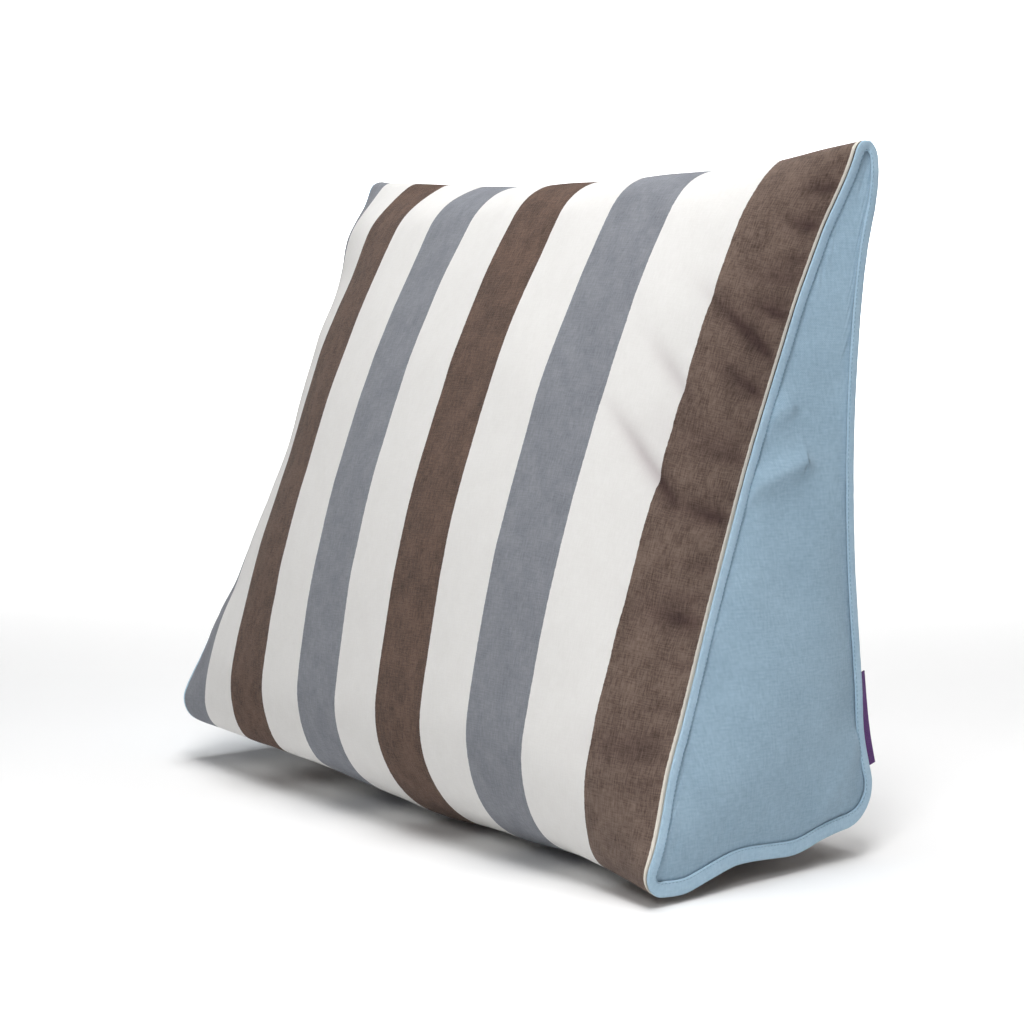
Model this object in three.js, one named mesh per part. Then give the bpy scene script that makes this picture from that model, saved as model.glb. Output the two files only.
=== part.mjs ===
// Wedge shaped reading pillow: a filled striped wrap, a plain side panel in each end, a raised welt round
// each panel and a small bare label. Millimetres, +X to the right, front slope facing -Y, +Z up.
import * as THREE from "three";

// Driving dimensions
const CLOTH_WIDTH = 600; // width of the wrap from seam to seam, measured over its crown
const WELT_WIDTH = 7.5;
const WELT_FLATTENING = 3.5; // how much wider the welt lies along the base
const WELT_HEIGHT = 2.8;
const PANEL_CLOTH = 2;
const PANEL_SWELL = 0.0065; // push of the filling against a side panel: how fast the panel curves, per mm
const SEAM_GAP = 0.3;
const WELT_GAP = 0.5; // the welt's underside is made of flat faces, so it stands a little further off
const LABEL = { length: 68, depth: 17, cloth: 2, gap: 0.6, foot: 66, leanTop: 62, leanFoot: 67, turns: 6 };

// The wedge seen along X: the circles that the cloth wraps round at its ridge, toe and heel, and how far the
// cloth bulges beyond the straight line between them. The filled middle is fuller and lower than the seams,
// and its base lies flat on z = 0. The right seam stands on its toe, the left one on its heel. "depth" and
// "height" say how fast the wrap swells from a seam towards the middle along Y and along Z.
const MIDDLE = {
  corners: [
    { name: "ridge", y: 56, z: 434, radius: 62.5 },
    { name: "toe", y: -36.5, z: 93, radius: 93 },
    { name: "heel", y: 66, z: 53.5, radius: 53.5 },
  ],
  bulge: { slope: 20, base: 5, back: -1 },
};
const RIGHT_SEAM = {
  side: 1,
  depth: { squareness: 3.65, steepness: 0.76 },
  height: { squareness: 4.5, steepness: 1.1 },
  corners: [
    { name: "ridge", y: 95.5, z: 502.5, radius: 10.5 },
    { name: "toe", y: -97.5, z: 21.5, radius: 14 },
    { name: "heel", y: 79, z: 55.5, radius: 32 },
  ],
  bulge: { slope: -15, base: 2, back: -20 },
  panelMiddle: { y: 43, z: 245 },
};
const LEFT_SEAM = {
  side: -1,
  depth: { squareness: 3.35, steepness: 0.74 },
  height: { squareness: 1, steepness: 1 },
  corners: [
    { name: "ridge", y: 100, z: 508.5, radius: 12.5 },
    { name: "toe", y: -89.5, z: 54, radius: 19.5 },
    { name: "heel", y: 95.5, z: 19.5, radius: 14.5 },
  ],
  bulge: { slope: -3.5, base: -4.5, back: -20 },
  panelMiddle: { y: 48, z: 250 },
};

// Places along both tables: "down" is the distance from the ridge down the front slope, then on round the
// toe, the base, the heel and the back.
// Waves of a seam in the plane of its side panel, with "rise" away from the panel.
const SEAM_WAVES = [
  { side: 1, down: 44, rise: -2.5, halfWidth: 36 },
  { side: 1, down: 130, rise: 2.5, halfWidth: 34 },
  { side: 1, down: 312, rise: -2, halfWidth: 50 },
  { side: 1, down: 474, rise: 2.8, halfWidth: 34 },
  { side: 1, down: 590, rise: 3, halfWidth: 18 },
  { side: 1, down: 644, rise: -4, halfWidth: 26 },
  { side: 1, down: 704, rise: 3.5, halfWidth: 22 },
  { side: 1, down: 838, rise: -3.5, halfWidth: 34 },
  { side: 1, down: 1232, rise: 2.5, halfWidth: 34 },
  { side: -1, down: 70, rise: 7.8, halfWidth: 30 },
  { side: -1, down: 170, rise: 3.5, halfWidth: 36 },
  { side: -1, down: 280, rise: -5.5, halfWidth: 40 },
  { side: -1, down: 450, rise: 4.2, halfWidth: 36 },
  { side: -1, down: 510, rise: 5.2, halfWidth: 36 },
  { side: -1, down: 650, rise: -2.5, halfWidth: 24 },
  { side: -1, down: 1000, rise: 2, halfWidth: 40 },
];
// Creases that run across the wrap from "start" to "reach" away from a seam, turning down the slope by
// "slant" as they leave it. "down" is where their line meets the seam.
const CREASES = [
  { side: 1, down: 44, start: 0, reach: 44, halfWidth: 11, depth: 5, slant: 0.1 },
  { side: 1, down: 74, start: 0, reach: 48, halfWidth: 11, depth: 5.5, slant: 0 },
  { side: 1, down: 108, start: 0, reach: 64, halfWidth: 12, depth: 5, slant: 0.15 },
  { side: 1, down: 142, start: 0, reach: 56, halfWidth: 11, depth: 5.5, slant: -0.15 },
  { side: 1, down: 176, start: 0, reach: 92, halfWidth: 12, depth: 7, slant: -0.6 },
  { side: 1, down: 203, start: 0, reach: 72, halfWidth: 12, depth: 5.5, slant: -0.4 },
  { side: 1, down: 240, start: 0, reach: 108, halfWidth: 15, depth: 5, slant: 0 },
  { side: 1, down: 258, start: 48, reach: 116, halfWidth: 12, depth: 4, slant: -0.85 },
  { side: 1, down: 293, start: 0, reach: 72, halfWidth: 12, depth: 6, slant: -0.05 },
  { side: 1, down: 327, start: 38, reach: 136, halfWidth: 12, depth: 6, slant: -0.88 },
  { side: 1, down: 371, start: 0, reach: 88, halfWidth: 14, depth: 5.5, slant: -0.1 },
  { side: 1, down: 462, start: 0, reach: 104, halfWidth: 15, depth: 6, slant: 0.1 },
  { side: 1, down: 880, start: 0, reach: 86, halfWidth: 15, depth: 5.5, slant: -0.1 },
  { side: 1, down: 1010, start: 0, reach: 104, halfWidth: 17, depth: 6.5, slant: 0.1 },
  { side: 1, down: 1140, start: 0, reach: 76, halfWidth: 14, depth: 5, slant: -0.15 },
  { side: -1, down: 60, start: 0, reach: 50, halfWidth: 12, depth: 3, slant: 0.1 },
  { side: -1, down: 128, start: 0, reach: 70, halfWidth: 13, depth: 3.5, slant: 0.15 },
  { side: -1, down: 190, start: 0, reach: 84, halfWidth: 14, depth: 4, slant: 0.05 },
  { side: -1, down: 262, start: 0, reach: 92, halfWidth: 15, depth: 3.5, slant: -0.1 },
  { side: -1, down: 330, start: 0, reach: 76, halfWidth: 13, depth: 4, slant: -0.1 },
  { side: -1, down: 404, start: 0, reach: 90, halfWidth: 15, depth: 3, slant: 0.1 },
  { side: -1, down: 478, start: 0, reach: 62, halfWidth: 14, depth: 2.5, slant: 0.15 },
  { side: -1, down: 900, start: 0, reach: 94, halfWidth: 16, depth: 6, slant: 0.1 },
  { side: -1, down: 1050, start: 0, reach: 100, halfWidth: 17, depth: 6.5, slant: -0.1 },
];
// Soft folds of a side panel: ridges from one place on it to another.
const PANEL_FOLDS = [
  { side: 1, from: { y: -26, z: 254 }, to: { y: 50, z: 286 }, halfWidth: 12, rise: 5 },
  { side: 1, from: { y: -10, z: 298 }, to: { y: 42, z: 326 }, halfWidth: 10, rise: 4 },
  { side: 1, from: { y: 30, z: 180 }, to: { y: 66, z: 330 }, halfWidth: 22, rise: -2.5 },
  { side: 1, from: { y: 54, z: 36 }, to: { y: 92, z: 84 }, halfWidth: 13, rise: 3.5 },
  { side: 1, from: { y: -60, z: 60 }, to: { y: 10, z: 88 }, halfWidth: 22, rise: 1.5 },
  { side: -1, from: { y: -20, z: 236 }, to: { y: 52, z: 262 }, halfWidth: 15, rise: 3 },
  { side: -1, from: { y: 48, z: 40 }, to: { y: 88, z: 96 }, halfWidth: 14, rise: 3 },
];

// Mesh density
const AROUND = 98;
const ACROSS = 36;
const END_RINGS = [1, 0.86, 0.7, 0.53, 0.35, 0.17];
const WELT_SIDES = 8;
const ARC_STEPS = 16;
const SIDE_STEPS = 48;
const DENSITY_STEPS = 2000;
const CORNER_CROWDING = 2.6; // how much closer the points stand at the tight corners of a seam
const CORNER_SPAN = 0.022; // as a share of the girth
const COLUMN_CROWDING = 0.9; // 1 crowds the columns against the seams fully
const TAKE_UP_ROUNDS = 8;
const SWELL_ROUNDS = 600;
const OVERSHOOT = 1.8; // how far each round carries a point past its balance, to settle sooner

const clothColours = { wrap: 0x9a9590, panel: 0x8ca5b9, welt: 0xa0bdcc, label: 0x55266c };

function clothMaterial(color, roughness) {
  return new THREE.MeshStandardMaterial({ color, roughness, metalness: 0 });
}

// Outward directions of the straight lines that touch each circle and the next one.
function touchingNormals(corners) {
  return corners.map((corner, i) => {
    const next = corners[(i + 1) % corners.length];
    const along = new THREE.Vector2(next.y - corner.y, next.z - corner.z);
    const lean = (corner.radius - next.radius) / along.length();
    along.normalize();
    const outward = new THREE.Vector2(along.y, -along.x);
    return outward.multiplyScalar(Math.sqrt(1 - lean * lean)).addScaledVector(along, lean);
  });
}

// Smooth outline round the circles, anticlockwise seen from +X, from the middle of the ridge: (y, z) points.
function outlineOf({ corners, bulge }) {
  const sags = [bulge.slope, bulge.base, bulge.back];
  const normals = touchingNormals(corners);
  const centres = corners.map((corner) => new THREE.Vector2(corner.y, corner.z));
  const spoke = (angle) => new THREE.Vector2(Math.cos(angle), Math.sin(angle));
  const onCircle = (i, angle) => centres[i].clone().addScaledVector(spoke(angle), corners[i].radius);
  const turns = sags.map((sag, i) => (4 * sag) / centres[i].distanceTo(centres[(i + 1) % centres.length]));
  const quarterTurn = Math.PI / 2;
  const points = [];
  corners.forEach((_, i) => {
    const previous = (i + corners.length - 1) % corners.length;
    const next = (i + 1) % corners.length;
    const from = normals[previous].angle() + turns[previous];
    const to = normals[i].angle() - turns[i];
    const sweep = (to - from + 4 * Math.PI) % (2 * Math.PI);
    for (let step = 0; step < ARC_STEPS; step++) {
      points.push(onCircle(i, from + (sweep * step) / ARC_STEPS));
    }
    const arrival = normals[i].angle() + turns[i];
    const start = onCircle(i, to);
    const end = onCircle(next, arrival);
    const handle = start.distanceTo(end) / 3;
    const leaving = start.clone().addScaledVector(spoke(to + quarterTurn), handle);
    const arriving = end.clone().addScaledVector(spoke(arrival + quarterTurn), -handle);
    const side = new THREE.CubicBezierCurve(start, leaving, arriving, end);
    points.push(...side.getPoints(SIDE_STEPS).slice(0, -1));
  });
  return [...points.slice(ARC_STEPS / 2), ...points.slice(0, ARC_STEPS / 2)];
}

function runningLengths(loop) {
  const lengths = [0];
  loop.forEach((point, i) => lengths.push(lengths[i] + point.distanceTo(loop[(i + 1) % loop.length])));
  return lengths;
}

// Points of a loop at rising shares of its girth.
function pointsAt(loop, shares) {
  const lengths = runningLengths(loop);
  let i = 0;
  return shares.map((share) => {
    const target = share * lengths.at(-1);
    while (lengths[i + 1] < target) i++;
    const part = (target - lengths[i]) / (lengths[i + 1] - lengths[i]);
    return loop[i].clone().lerp(loop[(i + 1) % loop.length], part);
  });
}

// Shares of the girth at which the wrap is sampled, closer together at the three corners of a seam.
function sharesAround(seam) {
  const lengths = runningLengths(outlineOf(seam));
  const perCorner = ARC_STEPS + SIDE_STEPS;
  const corners = [0, 1, 2, 3].map((corner) => lengths[corner * perCorner] / lengths.at(-1));
  const weights = [0];
  for (let i = 0; i < DENSITY_STEPS; i++) {
    const share = (i + 0.5) / DENSITY_STEPS;
    const near = corners.map((corner) => Math.exp(-(((share - corner) / CORNER_SPAN) ** 2)));
    weights.push(weights[i] + 1 + CORNER_CROWDING * Math.max(...near));
  }
  let i = 0;
  return Array.from({ length: AROUND }, (_, n) => {
    const target = (weights.at(-1) * n) / AROUND;
    while (weights[i + 1] < target) i++;
    return (i + (target - weights[i]) / (weights[i + 1] - weights[i])) / DENSITY_STEPS;
  });
}

// How full the wrap is at a share u of the way from its middle to a seam: 1 in the middle, 0 at the seam.
function fullness({ squareness, steepness }, u) {
  return Math.max(1 - u ** squareness, 0) ** steepness;
}

// Columns across half of the wrap, from its middle to a seam.
const columns = Array.from({ length: ACROSS / 2 + 1 }, (_, j) => {
  const widest = (Math.PI / 2) * COLUMN_CROWDING;
  return Math.sin((widest * j) / (ACROSS / 2)) / Math.sin(widest);
});

// Where the seam ends up when half the cloth width has gone over a crown between a point of the seam and
// its partner in the middle, and how far along the cloth each column lies.
function takeUp(seam, fromSeam, toMiddle) {
  const half = CLOTH_WIDTH / 2;
  const rises = columns.slice(1).map((u, j) => {
    const deeper = fullness(seam.depth, columns[j]) - fullness(seam.depth, u);
    const higher = fullness(seam.height, columns[j]) - fullness(seam.height, u);
    return Math.hypot((toMiddle.x - fromSeam.x) * deeper, (toMiddle.y - fromSeam.y) * higher);
  });
  let reach = half;
  let along = [];
  for (let round = 0; round < TAKE_UP_ROUNDS; round++) {
    along = [0];
    rises.forEach((rise, j) => along.push(along[j] + Math.hypot(reach * (columns[j + 1] - columns[j]), rise)));
    reach *= half / along.at(-1);
  }
  return { reach, along };
}

// Outward directions of a closed loop of (y, z) points that runs anticlockwise.
function outwardOf(loop) {
  return loop.map((_, i) => {
    const before = loop[(i + loop.length - 1) % loop.length];
    const after = loop[(i + 1) % loop.length];
    return new THREE.Vector2(after.y - before.y, before.x - after.x).normalize();
  });
}

function waveRise(side, down) {
  return SEAM_WAVES.filter((wave) => wave.side === side).reduce((sum, wave) => {
    const off = (down - wave.down) / wave.halfWidth;
    return sum + wave.rise * Math.exp(-off * off);
  }, 0);
}

function creaseDepth(side, fromSeam, down) {
  return CREASES.filter((crease) => crease.side === side).reduce((sum, crease) => {
    const share = THREE.MathUtils.clamp((fromSeam - crease.start) / (crease.reach - crease.start), 0, 1);
    const along = Math.sin(Math.PI * Math.sqrt(share)) ** 2;
    const off = (down - crease.down - crease.slant * fromSeam) / crease.halfWidth;
    return sum + crease.depth * along * Math.exp(-off * off);
  }, 0);
}

const shares = sharesAround(RIGHT_SEAM);
const middle = pointsAt(outlineOf(MIDDLE), shares);
const girth = runningLengths(outlineOf(MIDDLE)).at(-1);

// One half of the wrap: rings of points from its middle to the seam.
function halfWrap(seam) {
  const edge = pointsAt(outlineOf(seam), shares);
  const away = outwardOf(edge);
  edge.forEach((point, i) => point.addScaledVector(away[i], waveRise(seam.side, shares[i] * girth)));
  const takeUps = edge.map((point, i) => takeUp(seam, point, middle[i]));
  const rings = columns.map((u, j) => {
    const loop = edge.map((point, i) => {
      const y = THREE.MathUtils.lerp(point.x, middle[i].x, fullness(seam.depth, u));
      const z = THREE.MathUtils.lerp(point.y, middle[i].y, fullness(seam.height, u));
      return new THREE.Vector2(y, z);
    });
    const outward = outwardOf(loop);
    return loop.map((point, i) => {
      const fromSeam = CLOTH_WIDTH / 2 - takeUps[i].along[j];
      point.addScaledVector(outward[i], -creaseDepth(seam.side, fromSeam, shares[i] * girth));
      return new THREE.Vector3(seam.side * u * takeUps[i].reach, point.x, Math.max(point.y, 0));
    });
  });
  return { side: seam.side, panelMiddle: seam.panelMiddle, rings, seamLoop: rings.at(-1) };
}

// The seam loop moved inwards in its own plane by a share of the welt's width and a gap, and out along X by
// a lift.
function insetLoop(half, share, gap, lift) {
  const outward = outwardOf(half.seamLoop.map((point) => new THREE.Vector2(point.y, point.z)));
  return half.seamLoop.map((point, i) => {
    const underneath = Math.max(-outward[i].y, 0) ** 2;
    const inset = share * (WELT_WIDTH + WELT_FLATTENING * underneath) + gap;
    const y = point.y - outward[i].x * inset;
    const z = point.z - outward[i].y * inset;
    return new THREE.Vector3(point.x + half.side * lift, y, z);
  });
}

// Triangles between two rings, and from a ring to a tip, by the places of their first points in a list.
// Each four sided patch is split along its shorter diagonal, so that shifted copies are split alike.
function bandFaces(points, first, next, count) {
  return Array.from({ length: count }, (_, i) => {
    const j = (i + 1) % count;
    const [a, b, c, d] = [first + i, first + j, next + j, next + i];
    const forward = points[a].distanceTo(points[c]) < points[b].distanceTo(points[d]);
    return forward ? [[a, b, c], [a, c, d]] : [[a, b, d], [b, c, d]];
  }).flat();
}

function fanFaces(ring, tip, count) {
  return Array.from({ length: count }, (_, i) => [ring + i, ring + ((i + 1) % count), tip]);
}

// Lets a stretched skin come to rest under the push of the filling. Its first points are its rim and stay;
// each of the others goes along X to the balance of the pulls of the triangles round it.
function settle(points, faces, rimCount, push) {
  const pulls = points.map(() => new Map());
  const loads = points.map(() => 0);
  faces.forEach((face) => {
    const flat = face.map((index) => new THREE.Vector2(points[index].y, points[index].z));
    face.forEach((index, k) => {
      const [one, other] = [(k + 1) % 3, (k + 2) % 3];
      const toOne = flat[one].clone().sub(flat[k]);
      const toOther = flat[other].clone().sub(flat[k]);
      const doubleArea = Math.abs(toOne.cross(toOther));
      const pull = toOne.dot(toOther) / doubleArea / 2;
      loads[index] += (push * doubleArea) / 6;
      const [a, b] = [face[one], face[other]];
      pulls[a].set(b, (pulls[a].get(b) ?? 0) + pull);
      pulls[b].set(a, (pulls[b].get(a) ?? 0) + pull);
    });
  });
  for (let round = 0; round < SWELL_ROUNDS; round++) {
    for (let n = rimCount; n < points.length; n++) {
      let sum = loads[n];
      let total = 0;
      pulls[n].forEach((pull, other) => {
        sum += points[other].x * pull;
        total += pull;
      });
      points[n].x += OVERSHOOT * (sum / total - points[n].x);
    }
  }
}

// How far the folds of a panel lift one of its points.
function foldRise(side, point) {
  const place = new THREE.Vector2(point.y, point.z);
  return PANEL_FOLDS.filter((fold) => fold.side === side).reduce((sum, fold) => {
    const start = new THREE.Vector2(fold.from.y, fold.from.z);
    const end = new THREE.Vector2(fold.to.y, fold.to.z);
    const along = end.clone().sub(start);
    const share = place.clone().sub(start).dot(along) / along.lengthSq();
    const nearest = start.lerp(end, THREE.MathUtils.clamp(share, 0, 1));
    const off = place.distanceTo(nearest) / fold.halfWidth;
    return sum + fold.rise * Math.exp(-off * off);
  }, 0);
}

// Rings of an end inside its welt, from the rim to near the middle, and the middle itself. The points of a
// ring are spread more evenly the nearer it lies to the middle.
function endSurface(half) {
  const rim = insetLoop(half, 1, SEAM_GAP, 0);
  const meanX = rim.reduce((sum, point) => sum + point.x / rim.length, 0);
  const centre = new THREE.Vector3(meanX, half.panelMiddle.y, half.panelMiddle.z);
  const outline = rim.map((point) => new THREE.Vector2(point.y, point.z));
  const lengths = runningLengths(outline);
  const rings = END_RINGS.map((size) => {
    const spread = rim.map((_, i) => THREE.MathUtils.lerp(i / AROUND, lengths[i] / lengths.at(-1), size));
    return pointsAt(outline, spread).map((point) => {
      return new THREE.Vector3(centre.x, point.x, point.y).lerp(centre, 1 - size);
    });
  });
  rings[0] = rim;
  const points = [...rings.flat(), centre];
  const faces = rings.slice(1).flatMap((_, r) => bandFaces(points, r * AROUND, (r + 1) * AROUND, AROUND));
  faces.push(...fanFaces((rings.length - 1) * AROUND, rings.length * AROUND, AROUND));
  settle(points, faces, AROUND, half.side * PANEL_SWELL);
  points.slice(AROUND).forEach((point) => (point.x += half.side * foldRise(half.side, point)));
  return { rings, centre };
}

function shifted({ rings, centre }, lift) {
  const move = (point) => point.clone().setX(point.x + lift);
  return { rings: rings.map((ring) => ring.map(move)), centre: move(centre) };
}

// Closed surface through rings of equal length, faces pointing out whichever way the rings run. Without
// end points the last ring joins the first.
function closedGeometry(rings, startPoint, endPoint) {
  const count = rings[0].length;
  const points = rings.flat();
  const bands = startPoint ? rings.slice(1) : rings;
  const faces = bands.flatMap((_, band) => {
    return bandFaces(points, band * count, ((band + 1) % rings.length) * count, count);
  });
  if (startPoint) {
    const startFan = fanFaces(0, points.push(startPoint) - 1, count);
    const endFan = fanFaces((rings.length - 1) * count, points.push(endPoint) - 1, count);
    faces.push(...startFan.map((face) => face.toReversed()), ...endFan);
  }
  const volume = faces.reduce((sum, face) => {
    const [a, b, c] = face.map((index) => points[index]);
    return sum + a.dot(b.clone().cross(c));
  }, 0);
  const indices = faces.flat();
  if (volume < 0) indices.reverse();
  const geometry = new THREE.BufferGeometry().setFromPoints(points);
  geometry.setIndex(indices);
  geometry.computeVertexNormals();
  return geometry;
}

function named(name, geometry, material) {
  const mesh = new THREE.Mesh(geometry, material);
  mesh.name = name;
  return mesh;
}

function cushionBody(left, right) {
  const rings = [
    ...left.end.rings.toReversed(),
    ...left.rings.toReversed(),
    ...right.rings.slice(1),
    ...right.end.rings,
  ];
  const geometry = closedGeometry(rings, left.end.centre, right.end.centre);
  return named("cushion_body", geometry, clothMaterial(clothColours.wrap, 0.9));
}

function sidePanel(name, half) {
  const inner = shifted(half.end, half.side * SEAM_GAP);
  const outer = shifted(half.end, half.side * (SEAM_GAP + PANEL_CLOTH));
  const rings = [...outer.rings.toReversed(), ...inner.rings];
  return named(name, closedGeometry(rings, outer.centre, inner.centre), clothMaterial(clothColours.panel, 0.85));
}

function piping(name, half) {
  const rings = Array.from({ length: WELT_SIDES }, (_, k) => {
    const angle = (2 * Math.PI * k) / WELT_SIDES;
    const lift = WELT_GAP + (WELT_HEIGHT / 2) * (1 + Math.sin(angle));
    return insetLoop(half, (1 - Math.cos(angle)) / 2, 0, lift);
  });
  return named(name, closedGeometry(rings), clothMaterial(clothColours.welt, 0.85));
}

// The point of the seam at a height on its back edge.
function backSeamAt(half, z) {
  const loop = half.seamLoop;
  const i = loop.findIndex((point, k) => k > loop.length / 2 && point.y > 0 && point.z > z);
  const part = (z - loop[i - 1].z) / (loop[i].z - loop[i - 1].z);
  return loop[i - 1].clone().lerp(loop[i], part);
}

// Folded ribbon caught in the back seam: a thin leaf that leans away from the wrap.
function label(end) {
  const halfCloth = LABEL.cloth / 2;
  const rings = Array.from({ length: LABEL.turns + 1 }, (_, k) => {
    const share = k / LABEL.turns;
    const root = backSeamAt(end, LABEL.foot + share * LABEL.length);
    const lean = THREE.MathUtils.degToRad(THREE.MathUtils.lerp(LABEL.leanFoot, LABEL.leanTop, share));
    const out = new THREE.Vector3(-Math.cos(lean), Math.sin(lean), 0);
    const across = new THREE.Vector3(Math.sin(lean), Math.cos(lean), 0);
    const foot = root.addScaledVector(out, LABEL.gap).addScaledVector(across, halfCloth);
    const tip = foot.clone().addScaledVector(out, LABEL.depth);
    return [
      foot.clone().addScaledVector(across, -halfCloth),
      foot.clone().addScaledVector(across, halfCloth),
      tip.clone().addScaledVector(across, halfCloth),
      tip.clone().addScaledVector(across, -halfCloth),
    ];
  });
  const middleOf = (ring) => ring[0].clone().lerp(ring[2], 0.5);
  const geometry = closedGeometry(rings, middleOf(rings[0]), middleOf(rings.at(-1)));
  return named("label", geometry, clothMaterial(clothColours.label, 0.7));
}

const left = halfWrap(LEFT_SEAM);
const right = halfWrap(RIGHT_SEAM);
left.end = endSurface(left);
right.end = endSurface(right);

const pillow = new THREE.Group();
pillow.add(cushionBody(left, right));
pillow.add(sidePanel("side_panel_right", right));
pillow.add(sidePanel("side_panel_left", left));
pillow.add(piping("piping_right", right));
pillow.add(piping("piping_left", left));
pillow.add(label(right));

// The part's origin is the middle of its base.
const box = new THREE.Box3().setFromObject(pillow, true);
const centre = box.getCenter(new THREE.Vector3());
pillow.position.set(-centre.x, -centre.y, -box.min.z);

const group = new THREE.Group();
group.add(pillow);

export default group;
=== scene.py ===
import math
from collections import namedtuple

import bpy
import numpy as np
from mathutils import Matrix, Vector, noise


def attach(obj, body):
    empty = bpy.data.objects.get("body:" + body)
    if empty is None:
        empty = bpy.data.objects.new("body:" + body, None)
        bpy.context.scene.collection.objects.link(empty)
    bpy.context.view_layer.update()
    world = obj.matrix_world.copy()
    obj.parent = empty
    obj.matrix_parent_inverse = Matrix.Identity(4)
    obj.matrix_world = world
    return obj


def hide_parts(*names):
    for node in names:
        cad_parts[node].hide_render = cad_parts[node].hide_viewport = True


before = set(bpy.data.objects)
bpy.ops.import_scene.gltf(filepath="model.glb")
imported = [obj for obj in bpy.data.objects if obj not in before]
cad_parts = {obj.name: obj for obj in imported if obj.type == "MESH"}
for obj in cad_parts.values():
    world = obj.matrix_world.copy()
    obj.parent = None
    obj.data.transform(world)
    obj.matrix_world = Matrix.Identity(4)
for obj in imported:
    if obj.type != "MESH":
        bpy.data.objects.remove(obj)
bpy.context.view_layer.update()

# Lengths in the tables are in millimetres and turn into metres where a mesh is made.
MM = 0.001
CLOTH_WIDTH = 600
WELT_WIDTH = 7.5
WELT_FLATTENING = 3.5  # how much wider a welt lies along the base
WELT_HEIGHT = 2.8
WELT_GAP = 0.25  # between a welt and the seam it lies on
WELT_GIRTH = 22  # cloth round a welt's section, for the weave
WELT_ROUNDNESS = 0.6
SEAM_PLACE = 0.85  # a panel's rim under its welt, as a share of the welt's width
PANEL_GAP = 0.3
PANEL_SWELL = 0.0065
STITCH_PITCH = 3.2
STITCH_LENGTH = 2.3
STITCH_THICKNESS = 0.45
STITCH_ANGLE = 2.43  # place of the stitches round a welt's section
LABEL_FOOT, LABEL_LENGTH, LABEL_DEPTH = 66, 68, 17
LABEL_LEAN_FOOT, LABEL_LEAN_TOP = 67, 62
LABEL_GAP = 0.6
# One side of the folded ribbon: how far it is out of the seam and how far from its middle.
LABEL_PROFILE = [(0, 0.45), (5, 0.5), (10, 0.55), (14, 0.6), (16.4, 0.45), (LABEL_DEPTH, 0)]
LABEL_CURL = 0.5
ORIGIN_SHIFT = (1.240, 2.530, 0)

Corner = namedtuple("Corner", "y z radius")
Seam = namedtuple("Seam", "side depth height corners sags panel_middle")
Swell = namedtuple("Swell", "squareness steepness")
Wave = namedtuple("Wave", "side down rise half_width")
Crease = namedtuple("Crease", "side down start reach half_width depth slant")
Fold = namedtuple("Fold", "side from_y from_z to_y to_z half_width rise")

# Corners in the order ridge, toe, heel, and sags in the order slope, base, back.
MIDDLE_CORNERS = [Corner(56, 434, 62.5), Corner(-36.5, 93, 93), Corner(66, 53.5, 53.5)]
MIDDLE_SAGS = [20, 5, -1]
RIGHT = Seam(
    side=1,
    depth=Swell(3.65, 0.76),
    height=Swell(4.5, 1.1),
    corners=[Corner(95.5, 502.5, 10.5), Corner(-97.5, 21.5, 14), Corner(79, 55.5, 32)],
    sags=[-15, 2, -20],
    panel_middle=43 + 245j,
)
LEFT = Seam(
    side=-1,
    depth=Swell(3.35, 0.74),
    height=Swell(1, 1),
    corners=[Corner(100, 508.5, 12.5), Corner(-89.5, 54, 19.5), Corner(95.5, 19.5, 14.5)],
    sags=[-3.5, -4.5, -20],
    panel_middle=48 + 250j,
)
WAVES = [
    Wave(1, 44, -2.5, 36),
    Wave(1, 130, 2.5, 34),
    Wave(1, 312, -2, 50),
    Wave(1, 474, 2.8, 34),
    Wave(1, 590, 3, 18),
    Wave(1, 644, -4, 26),
    Wave(1, 704, 3.5, 22),
    Wave(1, 838, -3.5, 34),
    Wave(1, 1232, 2.5, 34),
    Wave(-1, 70, 7.8, 30),
    Wave(-1, 170, 3.5, 36),
    Wave(-1, 280, -5.5, 40),
    Wave(-1, 450, 4.2, 36),
    Wave(-1, 510, 5.2, 36),
    Wave(-1, 650, -2.5, 24),
    Wave(-1, 1000, 2, 40),
]
# Main creases, which the solids have too.
CREASES = [
    Crease(1, 44, 0, 44, 11, 5, 0.1),
    Crease(1, 74, 0, 48, 11, 5.5, 0),
    Crease(1, 108, 0, 64, 12, 5, 0.15),
    Crease(1, 142, 0, 56, 11, 5.5, -0.15),
    Crease(1, 176, 0, 92, 12, 7, -0.6),
    Crease(1, 203, 0, 72, 12, 5.5, -0.4),
    Crease(1, 240, 0, 108, 15, 5, 0),
    Crease(1, 258, 48, 116, 12, 4, -0.85),
    Crease(1, 293, 0, 72, 12, 6, -0.05),
    Crease(1, 327, 38, 136, 12, 6, -0.88),
    Crease(1, 371, 0, 88, 14, 5.5, -0.1),
    Crease(1, 462, 0, 104, 15, 6, 0.1),
    Crease(1, 880, 0, 86, 15, 5.5, -0.1),
    Crease(1, 1010, 0, 104, 17, 6.5, 0.1),
    Crease(1, 1140, 0, 76, 14, 5, -0.15),
    Crease(-1, 60, 0, 50, 12, 3, 0.1),
    Crease(-1, 128, 0, 70, 13, 3.5, 0.15),
    Crease(-1, 190, 0, 84, 14, 4, 0.05),
    Crease(-1, 262, 0, 92, 15, 3.5, -0.1),
    Crease(-1, 330, 0, 76, 13, 4, -0.1),
    Crease(-1, 404, 0, 90, 15, 3, 0.1),
    Crease(-1, 478, 0, 62, 14, 2.5, 0.15),
    Crease(-1, 900, 0, 94, 16, 6, 0.1),
    Crease(-1, 1050, 0, 100, 17, 6.5, -0.1),
]
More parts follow.
